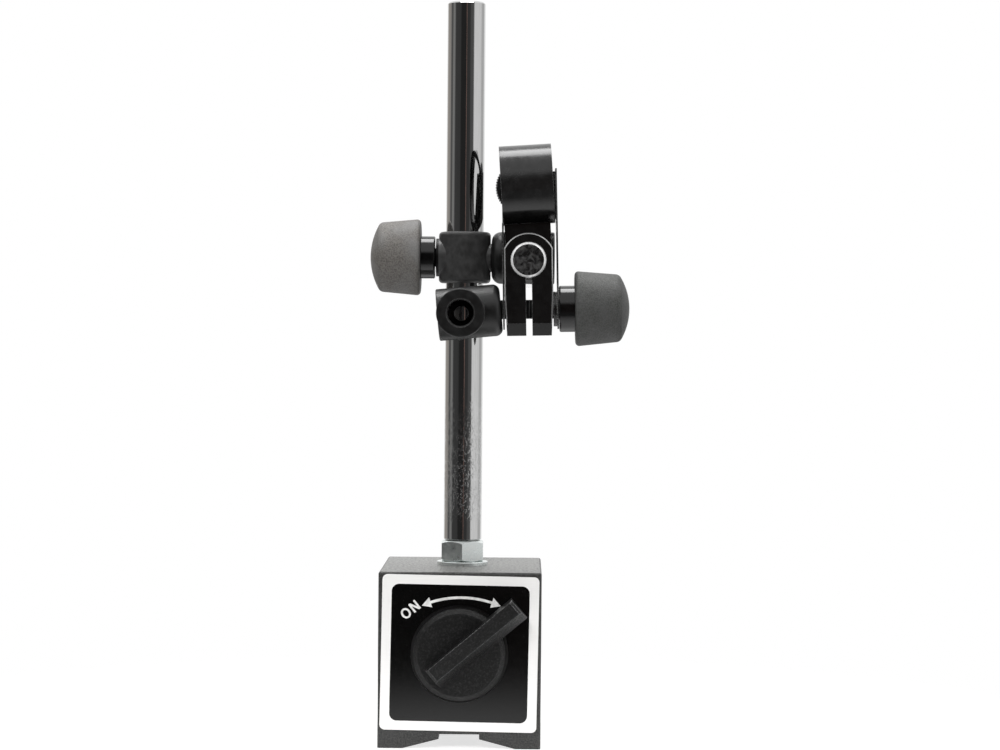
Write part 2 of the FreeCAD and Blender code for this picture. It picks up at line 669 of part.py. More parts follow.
def make_bow():
    """A wide strip of spring steel bent into a ring that is open low down at the back."""
    body = new_body("bow_spring", BOW)

    def on_ring(radius, angle):
        return (f"-bow_y + {radius} * cos({angle})", f"bow_up + {radius} * sin({angle})")

    outer = "bow_rad"
    inner = "(bow_rad - bow_thick)"
    steps = ["bow_open_to - 360", "60", "180", "bow_open_from"]
    points = [(*on_ring(outer, angle), outer) for angle in steps[:-1]]
    points.append(on_ring(outer, steps[-1]))
    points += [(*on_ring(inner, angle), f"-{inner}") for angle in steps[:0:-1]]
    points.append(on_ring(inner, steps[0]))
    pad(body, outline(body, "YZ", points), "bow_wide", both=True)
    screw_hole = circles(body, "XY", [("0", "-bow_screw_y", "bow_screw_rad")], "0")
    pocket(body, screw_hole, "bow_up", back=True)
    fine_hole = circles(body, "XZ", [("-wheel_x", "bow_up", "fine_rad + fine_room")], "bow_y")
    pocket(body, fine_hole, "bow_y + 1")


make_bow()


def make_bow_foot():
    """A saddle between the clamp's arch and the bow."""
    body = new_body("bow_foot", BOW)
    block = box_outline(body, "XZ", "-foot_left", "foot_right", "foot_low", "bow_up", "jaw_back")
    pad(body, block, "foot_front - jaw_back")
    pocket(body, circles(body, "YZ", [("-bow_y", "bow_up", "bow_rad")]))
    arch = ("-bow_shift * cos(bow_lean)", "bow_shift * sin(bow_lean)", "jaw_arch")
    pocket(body, circles(body, "XZ", [arch]))
    screw_hole = circles(body, "XY", [("0", "-bow_screw_y", "bow_screw_rad")], "0")
    pocket(body, screw_hole, "bow_up", back=True)


make_bow_foot()

bow_screw = new_body("bow_screw", BOW + " * " + frame("0", "-bow_screw_y", "0"))
turned(bow_screw, "Z", [
    ("0", "bow_screw_tip"),
    ("bow_screw_rad", "bow_screw_tip"),
    ("bow_screw_rad", "bow_head_low"),
    ("bow_head_rad", "bow_head_low"),
    ("bow_head_rad", "bow_head_low + bow_head_high"),
    ("0", "bow_head_low + bow_head_high"),
])

washer_place = " * " + frame("jaw_half + washer_gap", "0", "0", (0, 1, 0), "90")
holder_washer = new_body("holder_washer", BOLT + washer_place)
washer_rounds = [("0", "0", "side_washer_rad"), ("0", "0", "bolt_rad + bolt_room")]
washer_face = circles(holder_washer, "XY", washer_rounds)
pad(holder_washer, washer_face, "plate_right - jaw_half - 2 * washer_gap")


# ---------------------------------------------------------------- fine adjustment
def make_fine_bracket():
    """A folded sheet fork: two side plates on the bolt, joined by a web behind the wheel."""
    body = new_body("fine_bracket", HOLDER)
    back = "(web_front + web_thick)"
    points = [
        ("-bolt_y - eye_rad", "-bolt_drop", "eye_rad"),
        ("-bolt_y", "-bolt_drop - eye_rad", "eye_rad"),
        ("-bolt_y + eye_rad", "-bolt_drop"),
        ("-bolt_y + eye_rad", "arm_low"),
        (back, "web_low"),
        (back, "plate_top"),
        ("-bow_y + 2", "plate_top"),
        ("-plate_front", "plate_step"),
    ]
    whole = outline(body, "YZ", points, "-(plate_left + plate_thick)")
    pad(body, whole, "plate_left + plate_right + 2 * plate_thick")
    inside = box_outline(
        body, "XY", "-plate_left", "plate_right", "-bolt_y - eye_rad - 1", "web_front"
    )
    pocket(body, inside)
    window = box_outline(
        body, "YZ", "wheel_front - window_room", "wheel_front + wheel_thick + window_room",
        "bow_up - window_half", "bow_up + window_half",
    )
    pocket(body, window, "plate_left + plate_thick + 1")
    # the left plate is cut away round the bow, which stands out past it
    around_bow = [("-bow_y", "bow_up", "bow_rad + bow_room")]
    pocket(body, circles(body, "YZ", around_bow), "plate_left + plate_thick + 1")
    pocket(body, circles(body, "YZ", [("-bolt_y", "-bolt_drop", "bolt_rad + bolt_room")]))
    # the leaning bow's screw meets the upright web a little to the left
    nut_x = "bow_shift - wheel_x * cos(bow_lean) - bow_up * sin(bow_lean)"
    nut_z = "bow_up * cos(bow_lean) - wheel_x * sin(bow_lean)"
    pocket(body, circles(body, "XZ", [(nut_x, nut_z, "fine_rad + nut_room")]))


make_fine_bracket()

fine_nut = new_body("fine_nut", FINE)
turned(fine_nut, "Y", [
    ("fine_rad + nut_room", "web_front + web_thick"),
    ("nut_rad", "web_front + web_thick"),
    ("nut_rad", "web_front + web_thick + nut_thick"),
    ("fine_rad + nut_room", "web_front + web_thick + nut_thick"),
])


def make_fine_wheel():
    """A thin knurled wheel with a short hub in front."""
    body = new_body("fine_wheel", FINE)
    turned(body, "Y", [
        ("fine_rad", "-bow_y + bow_rad + 0.2"),
        ("collet_rad", "-bow_y + bow_rad + 0.2"),
        ("collet_rad", "wheel_front"),
        ("wheel_rad - wheel_edge", "wheel_front"),
        ("wheel_rad", "wheel_front + wheel_edge"),
        ("wheel_rad", "wheel_front + wheel_thick - wheel_edge"),
        ("wheel_rad - wheel_edge", "wheel_front + wheel_thick"),
        ("fine_rad", "wheel_front + wheel_thick"),
    ])
    notch = [
        ("wheel_rad - tooth_deep", "0"),
        ("wheel_rad + 0.1", "(tooth_deep + 0.1) * 0.7"),
        ("wheel_rad + 0.1", "-(tooth_deep + 0.1) * 0.7"),
    ]
    first = pocket(body, outline(body, "XZ", notch))
    pattern = body.newObject("PartDesign::PolarPattern", "fine_wheel_knurl")
    pattern.Originals = [first]
    axis = [part for part in body.Origin.OriginFeatures if part.Role == "Y_Axis"][0]
    pattern.Axis = (axis, [""])
    pattern.Angle = 360
    pattern.setExpression("Occurrences", bound("tooth_count"))
    body.Tip = pattern
    doc.recompute()


make_fine_wheel()

fine_screw = new_body("fine_screw", FINE)
turned(fine_screw, "Y", [
    ("0", "-fine_front"),
    ("fine_rad", "-fine_front"),
    ("fine_rad", "fine_back"),
    ("0", "fine_back"),
])
dress(fine_screw, "Chamfer", "wheel_edge", rim("fine_rad", "y", "-fine_front", "fine_back"))

fine_clip = new_body("fine_clip", FINE)
inner_wall = "(-bow_y + bow_rad - bow_thick)"
turned(fine_clip, "Y", [
    ("fine_rad", f"{inner_wall} - clip_back"),
    ("collet_rad", f"{inner_wall} - clip_back"),
    ("collet_rad", f"{inner_wall} - clip_back - 0.6"),
    ("fine_rad", f"{inner_wall} - clip_back - 0.6"),
])


# ---------------------------------------------------------------- stem sleeve, bolt and knob
def make_stem_sleeve():
    """A bored bar with a round boss in front, through which the indicator's stem goes."""
    body = new_body("stem_sleeve", STEM)
    turned(body, "X", [
        ("-stem_long", "0"),
        ("-stem_long", "stem_rad"),
        ("0", "stem_rad"),
        ("0", "0"),
    ])
    dress(body, "Fillet", "stem_round", rim("stem_rad", "x", "0"))
    dress(body, "Chamfer", "sleeve_edge / 2", rim("stem_rad", "x", "-stem_long"))
    hole_x = "-(stem_hole_x - stem_near)"
    pad(body, circles(body, "XZ", [(hole_x, "0", "stem_boss_rad")]), "stem_boss_reach")
    dress(body, "Fillet", "stem_hole_edge", rim("stem_boss_rad", "y", "-stem_boss_reach"))
    eye_bore = circles(body, "YZ", [("0", "0", "stem_bore")], "-stem_long")
    pocket(body, eye_bore, "stem_long - stem_wall", back=True)
    pocket(body, circles(body, "YZ", [("0", "0", "bolt_rad + bolt_room * 4")]))
    stem_bore = circles(body, "XZ", [(hole_x, "0", "stem_hole")])
    pocket(body, stem_bore, "stem_boss_reach + 1", back=True)
    pocket(body, circles(body, "XZ", [(hole_x, "0", "stem_back_hole")]))
    dress(body, "Chamfer", "stem_hole_edge", rim("stem_hole", "y", "-stem_boss_reach"))


make_stem_sleeve()

stem_bolt = new_body("stem_bolt", BOLT)
turned(stem_bolt, "X", [
    ("-eye_far", "0"),
    ("-eye_far", "eye_shaft"),
    ("-eye_near", "eye_shaft"),
    ("-eye_near", "bolt_rad"),
    ("bolt_end", "bolt_rad"),
    ("bolt_end", "0"),
])
# the drooping sleeve's hole lies a little under the bolt's axis, and the eye's hole is in line with it
stem_reach = "(stem_hole_x - stem_near)"
stem_way_x = f"-stem_near - {stem_reach} * cos(stem_droop)"
stem_way_z = f"-{stem_reach} * sin(stem_droop)"
pocket(stem_bolt, circles(stem_bolt, "XZ", [(stem_way_x, stem_way_z, "stem_hole")]))

knob_pieces(
    "holder_knob", BOLT, "holder_core_near", "holder_grip_near", "holder_core_rad",
    "bolt_rad + slide_fit", "holder_grip_rad", "holder_shoulder", "holder_grip_side",
)


# ---------------------------------------------------------------- checks and export
doc.recompute()
for item in doc.Objects:
    if "Invalid" in item.State or "Error" in item.State:
        raise RuntimeError(f"{item.Name} failed: {item.State}")
os.makedirs("parts", exist_ok=True)
for piece in PIECES:
    shape = piece.Shape
    if shape.isNull() or not shape.isValid() or not shape.Solids:
        raise RuntimeError(f"{piece.Label} has no valid shape")
    shape.exportStep(f"parts/{piece.Label}.step")
    print(f"{piece.Label:20s} solids {len(shape.Solids)} volume {shape.Volume:10.1f}")
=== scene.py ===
"""Looks of a magnetic indicator stand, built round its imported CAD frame.

Metres, in the CAD's frame: +X is to the right of the label, +Y points away from it, +Z is up.
Every CAD node has its origin there too, so a material's object coordinates are the same metres.
"""
import math

import bmesh
import bpy
from mathutils import Matrix, Vector


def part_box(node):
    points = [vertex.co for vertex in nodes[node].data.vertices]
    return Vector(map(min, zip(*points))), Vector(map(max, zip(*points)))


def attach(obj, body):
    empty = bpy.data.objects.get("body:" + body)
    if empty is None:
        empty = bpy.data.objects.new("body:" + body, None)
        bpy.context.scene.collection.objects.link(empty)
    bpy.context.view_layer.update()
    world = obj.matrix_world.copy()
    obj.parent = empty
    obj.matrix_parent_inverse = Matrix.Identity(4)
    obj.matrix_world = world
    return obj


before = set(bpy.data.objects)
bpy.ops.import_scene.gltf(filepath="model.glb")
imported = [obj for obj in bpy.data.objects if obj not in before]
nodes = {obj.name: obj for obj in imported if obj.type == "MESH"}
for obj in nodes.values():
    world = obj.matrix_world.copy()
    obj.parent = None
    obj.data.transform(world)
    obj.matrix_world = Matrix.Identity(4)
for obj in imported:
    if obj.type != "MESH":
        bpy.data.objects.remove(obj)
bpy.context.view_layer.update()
MM = 0.001
SCENE = bpy.context.scene


# ---------------------------------------------------------------- shader trees
class Tree:
    """Short ways to add shader nodes. What is given to an input is a value or another's output."""

    def __init__(self, tree):
        self.tree = tree

    def add(self, kind, inputs=None, **settings):
        made = self.tree.nodes.new(kind)
        for name, setting in settings.items():
            setattr(made, name, setting)
        for name, given in (inputs or {}).items():
            self.give(made.inputs[name], given)
        return made

    def give(self, socket, given):
        if isinstance(given, bpy.types.NodeSocket):
            self.tree.links.new(given, socket)
        else:
            socket.default_value = given

    def part(self, vector, axis):
        """One component of a vector."""
        return self.add("ShaderNodeSeparateXYZ", {0: vector}).outputs[axis]

    def work_out(self, operation, first, second=0.0):
        return self.add("ShaderNodeMath", {0: first, 1: second}, operation=operation).outputs[0]

    def plus(self, first, second):
        return self.work_out("ADD", first, second)

    def times(self, first, second):
        return self.work_out("MULTIPLY", first, second)

    def unsigned(self, given):
        return self.work_out("ABSOLUTE", given)

    def remap(self, given, low, high, to_low, to_high, smooth=False):
        kind = "SMOOTHSTEP" if smooth else "LINEAR"
        inputs = {
            "Value": given, "From Min": low, "From Max": high, "To Min": to_low, "To Max": to_high,
        }
        return self.add("ShaderNodeMapRange", inputs, interpolation_type=kind).outputs["Result"]

    def mix(self, factor, first, second):
        """A colour between two, by a factor from 0 to 1."""
        made = self.add("ShaderNodeMix", data_type="RGBA")
        self.give(made.inputs["Factor"], factor)
        for socket, given in (("A", first), ("B", second)):
            colour = (*given, 1) if isinstance(given, tuple) else given
            self.give(made.inputs[socket], colour)
        return made.outputs["Result"]


class Look(Tree):
    """A material. Texture sizes are in metres on the object."""

    def __init__(self, name, colour=(0.5, 0.5, 0.5), roughness=0.5, metallic=0.0, specular=0.5):
        self.material = bpy.data.materials.new(name)
        self.material.use_nodes = True
        super().__init__(self.material.node_tree)
        self.shader = self.tree.nodes["Principled BSDF"]
        self.set("Base Color", (*colour, 1))
        self.set("Roughness", roughness)
        self.set("Metallic", metallic)
        self.set("Specular IOR Level", specular)
        coordinates = self.add("ShaderNodeTexCoord")
        self.place = coordinates.outputs["Object"]
        self.facing = coordinates.outputs["Normal"]

    def set(self, name, given):
        self.give(self.shader.inputs[name], given)

    def stretched(self, x=1.0, y=1.0, z=1.0):
        """The object's coordinates, scaled, so that a texture is drawn out along an axis."""
        mapping = self.add("ShaderNodeMapping", {"Vector": self.place, "Scale": (x, y, z)})
        return mapping.outputs["Vector"]

    def noise(self, size, detail=2.0, roughness=0.5, vector=None, distortion=0.0):
        inputs = {
            "Vector": vector or self.place, "Scale": 1 / size, "Detail": detail,
            "Roughness": roughness, "Distortion": distortion,
        }
        return self.add("ShaderNodeTexNoise", inputs).outputs["Fac"]

    def bump(self, height, depth, normal=None, strength=1.0):
        inputs = {"Height": height, "Distance": depth, "Strength": strength}
        if normal:
            inputs["Normal"] = normal
        return self.add("ShaderNodeBump", inputs).outputs["Normal"]

    def soft_edges(self, radius):
        """A normal that rounds sharp edges over this radius."""
        return self.add("ShaderNodeBevel", {"Radius": radius}, samples=6).outputs["Normal"]

    def edge_mask(self, radius):
        """1 along edges and 0 on flats, from how far the rounded normal leans."""
        flat = self.add("ShaderNodeNewGeometry").outputs["Normal"]
        inputs = {0: self.soft_edges(radius), 1: flat}
        lean = self.add("ShaderNodeVectorMath", inputs, operation="DOT_PRODUCT").outputs["Value"]
        return self.remap(lean, 0.995, 0.93, 0, 1)


def grey(level):
    return (level, level, level)


# ---------------------------------------------------------------- camera, floor and light
def add_camera():
    """The view from about half the stand's height, far in front of the label."""
    data = bpy.data.cameras.new("camera")
    data.sensor_width = 36
    data.lens = 97.1
    data.clip_start = 0.01
    camera = bpy.data.objects.new("camera", data)
    SCENE.collection.objects.link(camera)
    place = (0.0191, -0.8539, 0.1236)
    pitch, roll, yaw = -0.0111, -0.00822, 0.00897
    turn = (
        Matrix.Rotation(yaw, 4, "Z")
        @ Matrix.Rotation(pitch, 4, "X")
        @ Matrix.Rotation(roll, 4, "Y")
        @ Matrix.Rotation(math.pi / 2, 4, "X")
    )
    camera.matrix_world = Matrix.Translation(place) @ turn
    SCENE.camera = camera


# the studio's walls as they show in a bright post: azimuth from the label's side, then light
WALLS = [
    (-180, (1.0, 1.0, 1.0)), (-152, (0.95, 0.95, 0.95)), (-140, (0.42, 0.39, 0.36)),
    (-108, (0.33, 0.31, 0.29)), (-101, (0.12, 0.12, 0.12)), (-90, (0.10, 0.10, 0.10)),
    (-84, (0.26, 0.26, 0.25)), (-74, (0.24, 0.24, 0.24)), (-66, (0.055, 0.055, 0.055)),
    (-34, (0.05, 0.05, 0.05)), (-28, (0.022, 0.022, 0.022)), (1.5, (0.022, 0.022, 0.022)),
    (2.5, (0.22, 0.14, 0.12)), (4.5, (0.22, 0.14, 0.12)), (5.5, (0.04, 0.04, 0.04)),
    (24, (0.045, 0.045, 0.045)), (29, (0.09, 0.09, 0.09)), (46, (0.10, 0.10, 0.10)),
    (52, (0.82, 0.82, 0.82)), (100, (0.80, 0.80, 0.80)), (110, (0.55, 0.55, 0.55)),
    (134, (0.55, 0.55, 0.55)), (142, (1.0, 1.0, 1.0)), (180, (1.0, 1.0, 1.0)),
]


def add_world():
    """A white tent with dark walls towards the photographer, over a dim ground."""
    world = bpy.data.worlds.new("studio")
    SCENE.world = world
    world.use_nodes = True
    world.node_tree.nodes.clear()
    studio = Tree(world.node_tree)
    way = studio.add("ShaderNodeTexCoord").outputs["Generated"]
    up = studio.part(way, "Z")

    def risen(low, high):
        """0 below the first elevation in degrees, and 1 above the second."""
        ends = [math.sin(math.radians(angle)) for angle in (low, high)]
        return studio.remap(up, *ends, 0, 1, smooth=True)

    towards_camera = studio.times(studio.part(way, "Y"), -1)
    azimuth = studio.work_out("ARCTAN2", studio.part(way, "X"), towards_camera)
    around = studio.remap(azimuth, -math.pi, math.pi, 0, 1)
    walls = studio.add("ShaderNodeValToRGB", {"Fac": around})
    stops = walls.color_ramp.elements
    while len(stops) < len(WALLS):
        stops.new(0.5)
    for stop, (angle, colour) in zip(stops, WALLS):
        stop.position = (angle + 180) / 360
        stop.color = (*colour, 1)
    light = studio.mix(risen(-28, -10), grey(0.12), walls.outputs["Color"])
    light = studio.mix(risen(18, 38), light, grey(1.05))
    backdrop = studio.add("ShaderNodeLightPath").outputs["Is Camera Ray"]
    light = studio.mix(backdrop, light, grey(1))
    sky = studio.add("ShaderNodeBackground", {"Color": light})
    studio.add("ShaderNodeOutputWorld", {"Surface": sky.outputs[0]})


def add_softbox(name, place, aim, wide, high, brightness, mirrored=True):
    """A rectangular light whose face has this brightness, where white paper in the tent has about 1."""
    data = bpy.data.lights.new(name, "AREA")
    data.shape = "RECTANGLE"
    data.size = wide
    data.size_y = high
    data.energy = brightness * math.pi * wide * high
    light = bpy.data.objects.new(name, data)
    SCENE.collection.objects.link(light)
    light.location = place
    light.rotation_euler = (Vector(aim) - Vector(place)).to_track_quat("-Z", "Y").to_euler()
    light.visible_camera = False
    light.visible_glossy = mirrored


def add_floor():
    """A pale table top that fades away round the stand."""
    fade_start, fade_end = 0.05, 0.22
    mesh = bpy.data.meshes.new("floor")
    shape = bmesh.new()
    bmesh.ops.create_circle(shape, cap_ends=True, radius=1.2, segments=96)
    shape.to_mesh(mesh)
    shape.free()
    floor = bpy.data.objects.new("floor", mesh)
    SCENE.collection.objects.link(floor)
    look = Look("pale_floor", colour=grey(0.55), roughness=0.7)
    look.set("Emission Color", (1, 1, 1, 1))
    look.set("Emission Strength", 0.62)
    distance = look.add("ShaderNodeVectorMath", {0: look.place}, operation="LENGTH")
    look.set("Alpha", look.remap(distance.outputs["Value"], fade_start, fade_end, 1, 0))
    mesh.materials.append(look.material)


# ---------------------------------------------------------------- materials
def hammered_paint():
    """Dark grey stoved paint with a fine pebbled skin, painted paler on its top faces as a painted
    sheen, and bare steel underneath.
    """
    look = Look("hammered_paint")
    speck = look.noise(0.5 * MM, detail=3, roughness=0.65)
    patch = look.noise(6 * MM, detail=3)
    paint = look.mix(look.remap(speck, 0.42, 0.64, 0, 1), grey(0.018), (0.06, 0.06, 0.057))
    paint = look.mix(look.remap(patch, 0.4, 0.65, 0, 0.4), paint, grey(0.05))
    rise = look.part(look.facing, "Z")
    top = look.remap(rise, 0.9, 0.98, 0, 1)
    coarse = look.noise(0.9 * MM, detail=3, roughness=0.7)
    # painted sheen: the top faces are painted pale grey where they catch the bright tent at a grazing
    # angle
    painted_top_sheen = look.mix(look.remap(coarse, 0.42, 0.58, 0, 1), grey(0.07), (0.30, 0.30, 0.288))
    paint = look.mix(top, paint, painted_top_sheen)
    under = look.remap(rise, -0.85, -0.9, 0, 1)
    grind = look.noise(0.25 * MM, detail=2, vector=look.stretched(1, 0.02, 1))
    steel = look.mix(look.remap(grind, 0.35, 0.65, 0, 1), grey(0.32), grey(0.46))
    look.set("Base Color", look.mix(under, paint, steel))
    look.set("Metallic", under)
    gloss = look.remap(speck, 0.35, 0.7, 0.5, 0.34)
    look.set("Roughness", look.plus(gloss, look.times(under, -0.1)))
    grain = look.plus(speck, look.times(patch, 0.4))
    calm_top = look.remap(top, 0, 1, 1, 0.3)
    look.set("Normal", look.bump(grain, 0.06 * MM, look.soft_edges(0.4 * MM), calm_top))
    return look.material


def label_metal():
    """Pale satin aluminium, rolled along X."""
    look = Look("label_aluminium", metallic=0.1, specular=0.4)
    roll = look.noise(0.12 * MM, detail=2, vector=look.stretched(0.03, 1, 1))
    tone = look.noise(9 * MM, detail=2)
    pale = look.mix(look.remap(roll, 0.35, 0.65, 0, 1), (0.95, 0.945, 0.93), (0.98, 0.975, 0.965))
    look.set("Base Color", look.mix(look.remap(tone, 0.3, 0.7, 0, 0.35), pale, (0.93, 0.915, 0.90)))
    look.set("Roughness", look.remap(roll, 0.3, 0.7, 0.36, 0.5))
    look.set("Normal", look.bump(roll, 0.004 * MM, look.soft_edges(0.15 * MM)))
    return look.material


def label_ink(name, colour, roughness):
    """Screen print: a slightly uneven film with specks of dust."""
    look = Look(name)
    film = look.noise(1.2 * MM, detail=4, roughness=0.6)
    dust = look.noise(0.2 * MM, detail=1)
    darker = tuple(part * 0.7 for part in colour)
    ink = look.mix(look.remap(film, 0.35, 0.65, 0, 1), darker, colour)
    look.set("Base Color", look.mix(look.remap(dust, 0.76, 0.8, 0, 0.5), ink, grey(0.12)))
    look.set("Roughness", look.remap(film, 0.3, 0.7, roughness * 0.85, roughness * 1.2))
    look.set("Normal", look.bump(film, 0.003 * MM))
    return look.material


def moulded_plastic():
    """Black plastic with a leathery moulded grain, painted pale along the lever's upward-facing edges
    as a painted highlight.
    """
    look = Look("moulded_plastic", specular=0.32)
    grain = look.noise(0.55 * MM, detail=3, roughness=0.6, distortion=0.6)
    fine = look.noise(0.18 * MM, detail=2)
    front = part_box("switch_knob")[0].y
    lever = look.remap(look.part(look.place, "Y"), front + 4.3 * MM, front + 2.8 * MM, 0, 1)
    upward = look.remap(look.part(look.facing, "Z"), -0.2, 0.1, 0.1, 1)
    # painted highlight: the lever's upward-facing edges are painted pale grey in patches, where light
    # from above catches them
    pale_marking = look.times(look.edge_mask(0.35 * MM), look.remap(fine, 0.4, 0.6, 0.1, 0.9))
    pale_marking = look.times(pale_marking, look.times(lever, upward))
    black = look.mix(look.remap(grain, 0.5, 0.68, 0, 1), grey(0.002), grey(0.018))
    look.set("Base Color", look.mix(pale_marking, black, grey(0.6)))
    look.set("Roughness", look.remap(grain, 0.35, 0.7, 0.5, 0.3))
    relief = look.plus(grain, look.times(fine, 0.3))
    look.set("Normal", look.bump(relief, 0.2 * MM, look.soft_edges(0.3 * MM)))
    return look.material


def chrome():
    """Bright plating with streaks rubbed along the pole, pits, and scuffs near its foot."""
    look = Look("chrome", metallic=1.0)
    streak = look.noise(0.35 * MM, detail=3, vector=look.stretched(1, 1, 0.05))
    cloud = look.noise(3 * MM, detail=4, roughness=0.7)
    pit = look.noise(0.3 * MM, detail=2, roughness=0.4)
    height = look.part(look.place, "Z")
    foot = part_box("pole_nut")[1].z
    near_foot = look.times(
        look.remap(height, foot + 4.3 * MM, foot + 10.3 * MM, 0, 1, smooth=True),
        look.remap(height, foot + 50.3 * MM, foot + 30.3 * MM, 0, 1, smooth=True),
    )
    mark = look.times(near_foot, look.remap(cloud, 0.53, 0.62, 0, 0.28))
    spots = look.remap(pit, 0.73, 0.78, 0, 0.6)
    bright = look.mix(look.remap(streak, 0.3, 0.7, 0, 1), (0.60, 0.60, 0.595), grey(0.66))
    pale_marking = look.mix(mark, bright, grey(0.8))
    look.set("Base Color", look.mix(spots, pale_marking, grey(0.25)))
    rubbed = look.plus(look.remap(streak, 0.4, 0.75, 0.03, 0.12), look.times(mark, 0.5))
    look.set("Roughness", look.plus(rubbed, look.times(spots, 0.3)))
    relief = look.plus(look.times(streak, 0.25), cloud)
    scuff = look.noise(0.75 * MM, detail=3, roughness=0.7, vector=look.stretched(1, 1, 0.55))
    scuff = look.times(look.remap(scuff, 0.53, 0.62, 0, 1), look.times(near_foot, 5))
    look.set("Normal", look.bump(look.plus(relief, scuff), 0.006 * MM))
    return look.material


def rod_steel():
    """The cross rod: a plated side, chamfers painted near-white and less metallic as a painted
    reflection, and rough turned steel on its ends.
    """
    look = Look("rod_steel")
    lean = look.unsigned(look.part(look.facing, "Y"))
    end = look.remap(lean, 0.9, 0.97, 0, 1)
    chamfer_reflection = look.remap(lean, 0.45, 0.6, 0, 1)
    cloud = look.noise(1.6 * MM, detail=5, roughness=0.65, distortion=0.8)
    scratch = look.noise(0.25 * MM, detail=3, vector=look.stretched(1, 0.06, 1))
    face = look.mix(look.remap(cloud, 0.42, 0.68, 0, 1), grey(0.035), grey(0.22))
    side = look.mix(look.remap(scratch, 0.3, 0.7, 0, 1), grey(0.58), grey(0.65))
    # painted reflection: the chamfers are painted near-white, standing in for the bright tent mirrored
    # all round the rod's end
    side = look.mix(chamfer_reflection, side, grey(0.95))
    look.set("Base Color", look.mix(end, side, face))
    metal = look.remap(chamfer_reflection, 0, 1, 1, 0.2)
    look.set("Metallic", look.plus(metal, look.times(end, 0.6)))
    dull = look.remap(cloud, 0.3, 0.7, 0.22, 0.4)
    smooth = look.remap(scratch, 0.4, 0.75, 0.05, 0.14)
    difference = look.times(end, look.work_out("SUBTRACT", dull, smooth))
    look.set("Roughness", look.plus(smooth, difference))
    blend = look.add("ShaderNodeMix", data_type="VECTOR")
    look.give(blend.inputs["Factor"], end)
    look.give(blend.inputs["A"], look.bump(scratch, 0.003 * MM))
    look.give(blend.inputs["B"], look.bump(cloud, 0.12 * MM))
    look.set("Normal", blend.outputs["Result"])
    return look.material


def zinc():
    """Blue-white zinc plating, a little cloudy."""
    look = Look("zinc", metallic=1.0)
    cloud = look.noise(1.8 * MM, detail=4, roughness=0.6)
    fine = look.noise(0.25 * MM, detail=2)
    tone = look.mix(look.remap(cloud, 0.3, 0.7, 0, 1), (0.72, 0.77, 0.76), (0.9, 0.93, 0.92))
    look.set("Base Color", tone)
    look.set("Roughness", look.remap(cloud, 0.3, 0.7, 0.24, 0.4))
    look.set("Normal", look.bump(fine, 0.008 * MM, look.soft_edges(0.2 * MM)))
    return look.material


def bright_steel(name, colour, roughness):
    """Turned or sheared metal with fine tool lines."""
    look = Look(name, metallic=1.0)
    lines = look.noise(0.15 * MM, detail=3, roughness=0.6)
    tone = look.noise(2.5 * MM, detail=3)
    darker = tuple(part * 0.72 for part in colour)
    look.set("Base Color", look.mix(look.remap(tone, 0.35, 0.65, 0, 1), darker, colour))
    look.set("Roughness", look.remap(lines, 0.3, 0.7, roughness * 0.8, roughness * 1.25))
    look.set("Normal", look.bump(lines, 0.006 * MM, look.soft_edges(0.12 * MM)))
    return look.material


def black_finish(
    name, base, shine, grain_size, grain_depth, edge_light, edge=0.2 * MM, mottle=0.4,
    rim_tone=0.42, shaded_necks_from=None, highlit_chamfers=False,
):
    """Blackened metal: how dark, how glossy, how grainy, and how bright a patchy painted highlight
    along its edges is.

    Past a given distance along X, what stands out of the body, such as a boss, is painted near-black
    with a weaker specular: painted shade between the part and its neighbours.
    With the last flag, the bevels between the front or back face and the sides are painted pale and
    part metallic: a painted highlight on the chamfers.
    """
    look = Look(name)
    grain = look.noise(grain_size, detail=3, roughness=0.6)
    cloud = look.noise(2.6 * MM, detail=4, roughness=0.6)
    patches = look.noise(0.4 * MM, detail=3, roughness=0.7)
    black = look.mix(look.remap(cloud, 0.38, 0.66, 0, mottle), grey(base), grey(base * 3))
    # painted highlight: every edge is painted pale grey in patches
    edge_highlight = look.times(look.edge_mask(edge), look.remap(patches, 0.38, 0.6, 0, edge_light))
    colour = look.mix(edge_highlight, black, grey(rim_tone))
    rough = look.remap(cloud, 0.3, 0.7, shine * 0.8, shine * 1.3)
    if shaded_necks_from:
        out = look.unsigned(look.part(look.place, "X"))
        lean = look.unsigned(look.part(look.facing, "X"))
        beyond = look.remap(out, shaded_necks_from, shaded_necks_from + 0.2 * MM, 0, 1)
        # painted shade: the necks beside the body are painted near-black, where shade falls between the
        # parts
        neck = look.times(beyond, look.remap(lean, 0.3, 0.25, 0, 1))
        colour = look.mix(neck, colour, grey(0.003))
        look.set("Specular IOR Level", look.remap(neck, 0, 1, 0.5, 0.15))
    if highlit_chamfers:
        lean = look.unsigned(look.part(look.facing, "Y"))
        # painted highlight: the chamfers are painted pale grey, part metallic, in patches
        chamfer_glint = look.times(look.remap(lean, 0.5, 0.6, 0, 1), look.remap(lean, 0.82, 0.92, 1, 0))
        chamfer_glint = look.times(chamfer_glint, look.remap(patches, 0.3, 0.5, 0.25, 1))
        colour = look.mix(chamfer_glint, colour, grey(0.5))
        look.set("Metallic", look.times(chamfer_glint, 0.6))
        rough = look.plus(rough, look.times(chamfer_glint, 0.15))
    look.set("Base Color", colour)
    look.set("Roughness", rough)
    look.set("Normal", look.bump(grain, grain_depth, look.soft_edges(edge)))
    return look.material


def threaded_steel(name, tone, pitch):
    """Oiled black steel with a thread along X, its crests painted paler as a painted highlight."""
    look = Look(name, roughness=0.28, metallic=0.6)
    # at a scale of 1, Blender's bands repeat every pi / 10
    waves = look.add("ShaderNodeTexWave", {"Vector": look.place, "Scale": math.pi / 10 / pitch})
    bands = waves.outputs["Fac"]
    # painted highlight: each crest of the thread is painted paler
    look.set("Base Color", look.mix(look.remap(bands, 0.6, 0.95, 0, 1), grey(tone), grey(tone * 6)))
    look.set("Normal", look.bump(bands, 0.5 * MM))
    return look.material


